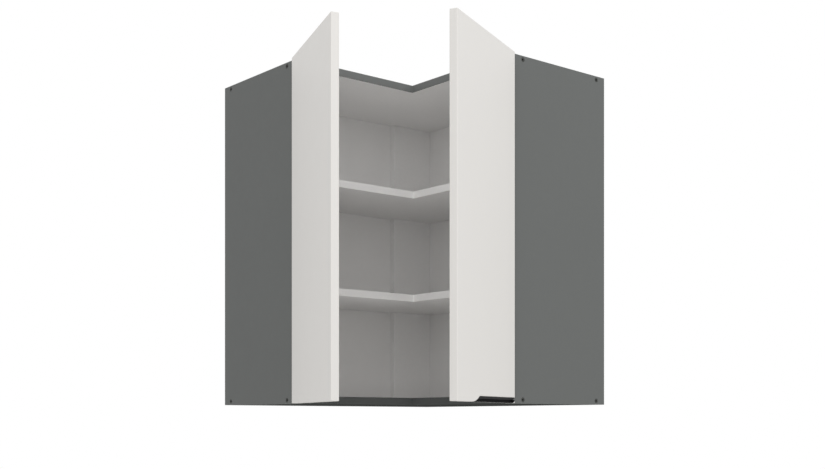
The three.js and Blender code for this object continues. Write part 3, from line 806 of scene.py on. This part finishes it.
@dataclass
class ScrewHead:
    """A low round head with a cross recess, as on the screws of hinges and hangers. The real recess
    reaches into the shank, so the shallow one here takes a dark finish at RECESS_INDEX as painted
    shade for that depth."""

    radius: float = 4.2
    height: float = 0.9
    rim: float = 0.5  # rounding of the head's edge
    cross_width: float = 1.1
    cross_reach: float = 2.4  # from the axis
    cross_depth: float = 0.75  # as a share of the head's height
    segments: int = 24
    top_share: float = 0.999  # of the height, above which a face is on top
    reach_share: float = 0.98  # of the reach, which keeps the ring round the cross out of it

    def add_to(self, shape: bmesh.types.BMesh, place: Matrix) -> None:
        """Adds the head to a mesh.

        Args:
            shape: the mesh.
            place: where its base goes and where it points.
        """
        head = rounded_disc(self.radius, self.height, self.rim, self.segments)
        # the highest face, and the widest where several are as high
        top = max(
            head.faces,
            key=lambda face: (
                round(face.calc_center_median().z, HEIGHT_DIGITS), face.calc_area()
            ),
        )
        ring = mm(self.radius - self.rim - self.cross_reach)
        bmesh.ops.inset_region(head, faces=[top], thickness=ring)
        for normal in ((1, 0, 0), (0, 1, 0)):
            for side in (-1, 1):
                offset = Vector(normal) * side * mm(self.cross_width) / 2
                everything = head.verts[:] + head.edges[:] + head.faces[:]
                bmesh.ops.bisect_plane(head, geom=everything, plane_co=offset, plane_no=normal)
        cross = [face for face in head.faces if self.in_cross(face)]
        sunk = bmesh.ops.extrude_face_region(head, geom=cross)["geom"]
        # the extrusion keeps a flat region's own faces as a lid
        bmesh.ops.delete(head, geom=cross, context="FACES")
        floor = [item for item in sunk if isinstance(item, bmesh.types.BMVert)]
        depth = mm(self.height * self.cross_depth)
        bmesh.ops.translate(head, verts=floor, vec=(0, 0, -depth))
        # the cross's floor and walls take the painted shade
        for face in {face for vert in floor for face in vert.link_faces}:
            face.material_index = RECESS_INDEX
        merge(shape, head, place)

    def in_cross(self, face: bmesh.types.BMFace) -> bool:
        """Whether a face of the cut head belongs to the cross.

        Args:
            face: the face.

        Returns:
            True where it does.
        """
        centre = face.calc_center_median()
        on_top = centre.z > mm(self.height) * self.top_share
        near = math.hypot(centre.x, centre.y) < mm(self.cross_reach) * self.reach_share
        in_arm = min(abs(centre.x), abs(centre.y)) < mm(self.cross_width) / 2
        return on_top and near and in_arm


@dataclass
class Rivet:
    """A low domed rivet head on the end of a hinge pin."""

    radius: float = 2.5
    height: float = 0.7
    rounding: float = 0.56
    segments: int = 20

    def add_to(self, shape: bmesh.types.BMesh, place: Matrix) -> None:
        """Adds the rivet head to a mesh.

        Args:
            shape: the mesh.
            place: where its base goes and where it points.
        """
        head = rounded_disc(self.radius, self.height, self.rounding, self.segments)
        merge(shape, head, place)


@dataclass
class HingeFittings:
    """The screws and rivets of one door's two hinges."""

    wing: Wing
    plate_setback: float = 37  # carcass front to the plate's screws
    plate_spacing: float = 32
    plate_head: float = 4.2  # the plate's screw heads stand this far off the panel
    arm_height: float = 16
    arm_screws: tuple[float, float] = (30.0, 55.0)  # side adjuster and fixing screw, from the front
    arm_pin: tuple[float, float] = (572.0, -278.3)
    arm_half: float = 8.2  # hinge's mid height to the arm's outer side
    cup_axis: float = 576.5
    cup_offset: float = 6
    cup_spacing: float = 48
    cup_flange: float = 1.3
    cup_screw: ScrewHead = field(default_factory=lambda: ScrewHead(radius=3.4, height=0.7))
    plate_screw: ScrewHead = field(
        default_factory=lambda: ScrewHead(radius=4.4, height=0.5, rim=0.4)
    )
    arm_screw: ScrewHead = field(default_factory=lambda: ScrewHead(radius=3.9, height=1.6))
    rivet: Rivet = field(default_factory=Rivet)

    def on_panel(self) -> bpy.types.Object:
        """Builds the plates' and the arms' screws, and the rivet heads of the arms' pins.

        Returns:
            The piece, which rides on the carcass.
        """
        shape = bmesh.new()
        inner, front = self.wing.inner, self.wing.front
        for height in self.wing.hinge_heights:
            for side in (-1, 1):
                level = height + side * self.plate_spacing / 2
                seat = (inner - self.plate_head, front + self.plate_setback, level)
                self.plate_screw.add_to(shape, upright_on(seat, (-1, 0, 0)))
                end = (*self.arm_pin, height + side * self.arm_half)
                self.rivet.add_to(shape, upright_on(end, (0, 0, side)))
            for setback in self.arm_screws:
                seat = (inner - self.arm_height, front + setback, height)
                self.arm_screw.add_to(shape, upright_on(seat, (-1, 0, 0)))
        bmesh.ops.transform(shape, matrix=self.wing.to_rest(), verts=shape.verts)
        name = f"hinge_screws_{self.wing.side}"
        return finished(name, shape, Finishes.hinge, "carcass", recess=Finishes.recess)

    def on_door(self) -> bpy.types.Object:
        """Builds the screws that hold the cups in the door.

        Returns:
            The piece, which rides on the door.
        """
        shape = bmesh.new()
        across = self.cup_axis - self.cup_offset
        depth = self.wing.door_inner + self.cup_flange
        for height in self.wing.hinge_heights:
            for side in (-1, 1):
                seat = (across, depth, height + side * self.cup_spacing / 2)
                self.cup_screw.add_to(shape, upright_on(seat, (0, 1, 0)))
        bmesh.ops.transform(shape, matrix=self.wing.to_rest(on_door=True), verts=shape.verts)
        name, body = f"cup_screws_{self.wing.side}", self.wing.door_body
        return finished(name, shape, Finishes.hinge, body, recess=Finishes.recess)


@dataclass
class HangerFittings:
    """The two adjusting screws of a wing's wall hanger, in their wells."""

    wing: Wing
    width: float = 15
    well_depth: float = 2.5
    setback: float = -44.2  # wells' axis, from the wall
    heights: tuple[float, float] = (660.25, 682.25)
    head: ScrewHead = field(
        default_factory=lambda: ScrewHead(radius=3.2, height=1.9, rim=0.4, cross_reach=2.1)
    )

    def build(self) -> bpy.types.Object:
        """Builds both screws.

        Returns:
            The piece, which rides on the carcass.
        """
        shape = bmesh.new()
        for height in self.heights:
            seat = (self.wing.inner - self.width + self.well_depth, self.setback, height)
            self.head.add_to(shape, upright_on(seat, (-1, 0, 0)))
        bmesh.ops.transform(shape, matrix=self.wing.to_rest(), verts=shape.verts)
        name = f"hanger_screws_{self.wing.side}"
        return finished(name, shape, Finishes.hook, "carcass", recess=Finishes.recess)


@dataclass
class DoorBumpers:
    """Two clear domes stuck on a door's inner face, near the corners of its free edge."""

    wing: Wing
    radius: float = 4.5
    height: float = 1.6
    from_edge: float = 9
    levels: tuple[float, float] = (8.0, 708.0)
    rings: int = 8
    segments: int = 28
    smooth_below: float = 60

    def build(self) -> bpy.types.Object:
        """Builds both domes.

        Returns:
            The piece, which rides on the door.
        """
        shape = bmesh.new()
        across = self.wing.door_edge - self.wing.door_width + self.from_edge
        size = (mm(self.radius), mm(self.radius), mm(self.height))
        for level in self.levels:
            dome = bmesh.new()
            bmesh.ops.create_uvsphere(
                dome, u_segments=self.segments, v_segments=2 * self.rings, radius=1
            )
            everything = dome.verts[:] + dome.edges[:] + dome.faces[:]
            bmesh.ops.bisect_plane(
                dome, geom=everything, plane_co=(0, 0, 0), plane_no=(0, 0, -1), clear_outer=True
            )
            bmesh.ops.holes_fill(dome, edges=[edge for edge in dome.edges if edge.is_boundary])
            bmesh.ops.scale(dome, vec=size, verts=dome.verts)
            merge(shape, dome, upright_on((across, self.wing.door_inner, level), (0, 1, 0)))
        bmesh.ops.transform(shape, matrix=self.wing.to_rest(on_door=True), verts=shape.verts)
        name, body = f"door_bumpers_{self.wing.side}", self.wing.door_body
        return finished(name, shape, Finishes.bumper, body, smooth_below=self.smooth_below)


@dataclass
class GripEnd:
    """The moulded end of the grip profile: a lining on the door's white heel and a plate that
    closes the finger recess at the hinge edge."""

    wing: Wing
    foot: tuple[float, float] = (586.7, 1.0)  # the heel's arc, as X and Z of the closed door
    head: tuple[float, float] = (598.6, 4.75)
    under_lip: float = 7.1
    plate: float = 1.2
    lining: float = 0.8
    front: float = -305.2
    back: float = -298.9
    steps: int = 6

    def outline(self) -> list[tuple[float, float]]:
        """Draws the end as it is seen from the front of the closed door.

        Returns:
            Its corners, as X and Z.
        """
        run, rise = self.head[0] - self.foot[0], self.head[1] - self.foot[1]
        radius = (run**2 + rise**2) / (2 * rise)
        sweep = math.asin(run / radius)
        arc = []
        for step in range(self.steps + 1):
            angle = sweep * step / self.steps
            across = self.foot[0] + radius * math.sin(angle)
            arc.append((across, self.foot[1] + radius * (1 - math.cos(angle))))
        inside = self.head[0] - self.plate
        lined = [(across, level + self.lining) for across, level in arc[1:] if across < inside]
        return [*arc, (self.head[0], self.under_lip), (inside, self.under_lip), *reversed(lined)]

    def build(self) -> bpy.types.Object:
        """Builds the end.

        Returns:
            The piece, which rides on the door.
        """
        shape = bmesh.new()
        corners = [
            shape.verts.new((mm(across), mm(self.front), mm(level)))
            for across, level in self.outline()
        ]
        face = shape.faces.new(corners)
        pushed = bmesh.ops.extrude_face_region(shape, geom=[face])["geom"]
        moved = [item for item in pushed if isinstance(item, bmesh.types.BMVert)]
        bmesh.ops.translate(shape, verts=moved, vec=(0, mm(self.back - self.front), 0))
        bmesh.ops.transform(shape, matrix=self.wing.to_rest(on_door=True), verts=shape.verts)
        # the whole end lies below the grip's painted-shade height, so it takes the darker painted
        # shade colour
        return finished("grip_end", shape, Finishes.grip, self.wing.door_body)


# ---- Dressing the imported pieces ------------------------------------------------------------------


@dataclass
class Assembly:
    """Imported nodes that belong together, and their finishes."""

    finishes: dict[str, Finish]  # by what the nodes' names start with

    def dress(self) -> list[str]:
        """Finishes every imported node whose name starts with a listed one.

        Returns:
            The names of the nodes that it finished.
        """
        done = []
        for name, node in frame["nodes"].items():
            for start, finish in self.finishes.items():
                if name.startswith(start):
                    finish.dress(node)
                    done.append(name)
                    break
        return done


@dataclass
class Carcass(Assembly):
    """The fixed boards, sheets, screws, pins and hangers."""

    finishes: dict[str, Finish] = field(
        default_factory=lambda: {
            "top_board": Finishes.top,
            "bottom_board": Finishes.bottom,
            "end_panel_right": Finishes.end_right,
            "end_panel_left": Finishes.end_left,
            "shelf_lower": Finishes.shelf,
            "shelf_upper": Finishes.shelf,
            "corner_board": Finishes.corner,
            "back_sheet_right": Finishes.back_right,
            "back_sheet_left": Finishes.back_left,
            "end_screw": Finishes.screw,
            "corner_screw": Finishes.screw,
            "shelf_screw": Finishes.screw,
            "shelf_pin": Finishes.hinge,
            "hanger_housing": Finishes.housing,
            "hanger_hook": Finishes.hook,
        }
    )


@dataclass
class Doors(Assembly):
    """The two doors, the grip profile and the hinges."""

    finishes: dict[str, Finish] = field(
        default_factory=lambda: {
            "door_": Finishes.front,
            "grip_profile": Finishes.grip,
            "hinge_": Finishes.hinge,
        }
    )

    def fittings(self, wing: Wing) -> list[bpy.types.Object]:
        """Builds what sits on a wing's hinges, door and hanger.

        Args:
            wing: the wing.

        Returns:
            The new pieces.
        """
        hinges = HingeFittings(wing)
        hanger, bumpers = HangerFittings(wing), DoorBumpers(wing)
        made = [hinges.on_panel(), hinges.on_door(), hanger.build(), bumpers.build()]
        if wing.has_grip:
            made.append(GripEnd(wing).build())
        return made


# ---- Studio --------------------------------------------------------------------------------------


@dataclass(frozen=True)
class Softbox:
    """One large area lamp, with its place and size in metres and its power in watts."""

    name: str
    place: tuple[float, float, float]
    aim: tuple[float, float, float]
    size: float
    power: float
    colour: str = "#ffffff"

    def build(self) -> None:
        """Puts the lamp in the scene."""
        data = bpy.data.lights.new(self.name, "AREA")
        data.shape = "SQUARE"
        data.size = self.size
        data.energy = self.power
        data.color = linear(self.colour)[:3]
        lamp = bpy.data.objects.new(self.name, data)
        bpy.context.scene.collection.objects.link(lamp)
        lamp.location = self.place
        heading = Vector(self.aim) - Vector(self.place)
        lamp.rotation_euler = heading.to_track_quat("-Z", "Y").to_euler()


@dataclass
class Studio:
    """The floor well below the cabinet, the white surround, the lamps and the camera."""

    floor_centre: tuple[float, float] = (300, -300)
    floor_level: float = -1400
    floor_radius: float = 7000
    floor_segments: int = 96
    floor_paint: str = "#cfcecc"
    floor_seen: str = "#f6f5f3"
    surround: str = "#ffffff"
    surround_seen: float = 1.0  # its brightness where the camera looks
    ambient: float = 1.0  # and as light on the object
    camera_place: tuple[float, float, float] = (2.31711, -1.97632, -0.03322)  # metres
    camera_azimuth: float = 50.2347  # degrees from +Y towards -X
    camera_focal: float = 1177.40  # pixels at the photograph's width
    camera_horizon: float = 419.85  # pixels from its top
    sensor: float = 36
    lamps: tuple[Softbox, ...] = (
        Softbox("lamp_overhead", (1.0, -1.0, 3.2), (0.35, -0.35, 0.4), 3.0, 24),
        Softbox("lamp_right", (3.95, 0.5, 1.2), (0.4, -0.3, 0.4), 2.4, 32),
        Softbox("lamp_front", (3.2, -2.9, 0.5), (0.3, -0.3, 0.35), 2.0, 18),
        Softbox("lamp_front_high", (2.9, -2.6, 2.3), (0.3, -0.3, 0.35), 2.0, 12.5),
    )

    def seen(self, tree: bpy.types.NodeTree) -> bpy.types.NodeSocket:
        """Marks the rays that see the surround: straight, mirrored or through glass.

        Args:
            tree: the node tree.

        Returns:
            1 for those rays, 0 for light on the object.
        """
        path = add_node(tree, "LightPath")
        ends = [path.outputs[f"Is {kind} Ray"] for kind in ("Camera", "Glossy", "Transmission")]
        pair = add_node(tree, "Math", {0: ends[0], 1: ends[1]}, operation="MAXIMUM").outputs[0]
        return add_node(tree, "Math", {0: pair, 1: ends[2]}, operation="MAXIMUM").outputs[0]

    def floor_material(self) -> bpy.types.Material:
        """Makes the floor's paint, which shows paler than it lights and is clear from below.

        Returns:
            The material.
        """
        material = bpy.data.materials.new("studio_paint")
        material.use_nodes = True
        tree = material.node_tree
        tree.nodes.remove(tree.nodes["Principled BSDF"])
        paint = add_node(tree, "BsdfDiffuse", {"Color": linear(self.floor_paint)}).outputs[0]
        pale = add_node(tree, "BsdfDiffuse", {"Color": linear(self.floor_seen)}).outputs[0]
        top = add_node(tree, "MixShader", {0: self.seen(tree), 1: paint, 2: pale}).outputs[0]
        below = add_node(tree, "NewGeometry").outputs["Backfacing"]
        clear = add_node(tree, "BsdfTransparent").outputs[0]
        disc = add_node(tree, "MixShader", {0: below, 1: top, 2: clear}).outputs[0]
        feed(tree, tree.nodes["Material Output"], {"Surface": disc})
        return material

    def build_floor(self) -> None:
        """A plain pale disc that keeps the cabinet's shadow and is clear from below."""
        shape = bmesh.new()
        bmesh.ops.create_circle(
            shape, cap_ends=True, segments=self.floor_segments, radius=mm(self.floor_radius)
        )
        centre = [mm(value) for value in (*self.floor_centre, self.floor_level)]
        bmesh.ops.translate(shape, verts=shape.verts, vec=centre)
        mesh = bpy.data.meshes.new("studio_floor")
        shape.to_mesh(mesh)
        shape.free()
        floor = bpy.data.objects.new("studio_floor", mesh)
        bpy.context.scene.collection.objects.link(floor)
        mesh.materials.append(self.floor_material())

    def build_world(self) -> None:
        """Even light on the object, and white where the camera looks."""
        world = bpy.data.worlds.new("studio_surround")
        bpy.context.scene.world = world
        world.use_nodes = True
        tree = world.node_tree
        colour = linear(self.surround)
        light = tree.nodes["Background"]
        feed(tree, light, {"Color": colour, "Strength": self.ambient})
        white = add_node(tree, "Background", {"Color": colour, "Strength": self.surround_seen})
        shaders = {0: self.seen(tree), 1: light.outputs[0], 2: white.outputs[0]}
        mix = add_node(tree, "MixShader", shaders).outputs[0]
        feed(tree, tree.nodes["World Output"], {"Surface": mix})

    def build_camera(self) -> None:
        """The photograph's camera: level, with its frame shifted up."""
        data = bpy.data.cameras.new("camera")
        data.sensor_width = self.sensor
        data.lens = self.camera_focal / PHOTO_WIDTH * self.sensor
        data.shift_y = (self.camera_horizon - PHOTO_HEIGHT / 2) / PHOTO_WIDTH
        camera = bpy.data.objects.new("camera", data)
        bpy.context.scene.collection.objects.link(camera)
        camera.location = self.camera_place
        camera.rotation_euler = (math.pi / 2, 0, math.radians(self.camera_azimuth))
        bpy.context.scene.camera = camera

    def build(self) -> None:
        """Builds the whole studio."""
        bpy.context.scene.view_settings.view_transform = "Standard"
        self.build_camera()
        self.build_world()
        self.build_floor()
        for lamp in self.lamps:
            lamp.build()


# ---- Building in order ---------------------------------------------------------------------------


def main() -> None:
    """Builds the studio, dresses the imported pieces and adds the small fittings."""
    logging.basicConfig(level=logging.INFO, format="%(name)s: %(message)s")
    Studio().build()
    doors = Doors()
    dressed = Carcass().dress() + doors.dress()
    log.info("dressed %d packed pieces of %d", len(dressed), len(frame["nodes"]))
    for wing in (RIGHT_WING, LEFT_WING):
        for piece in doors.fittings(wing):
            log.info("built %s with %d faces", piece.name, len(piece.data.polygons))


if __name__ == "__main__":
    main()
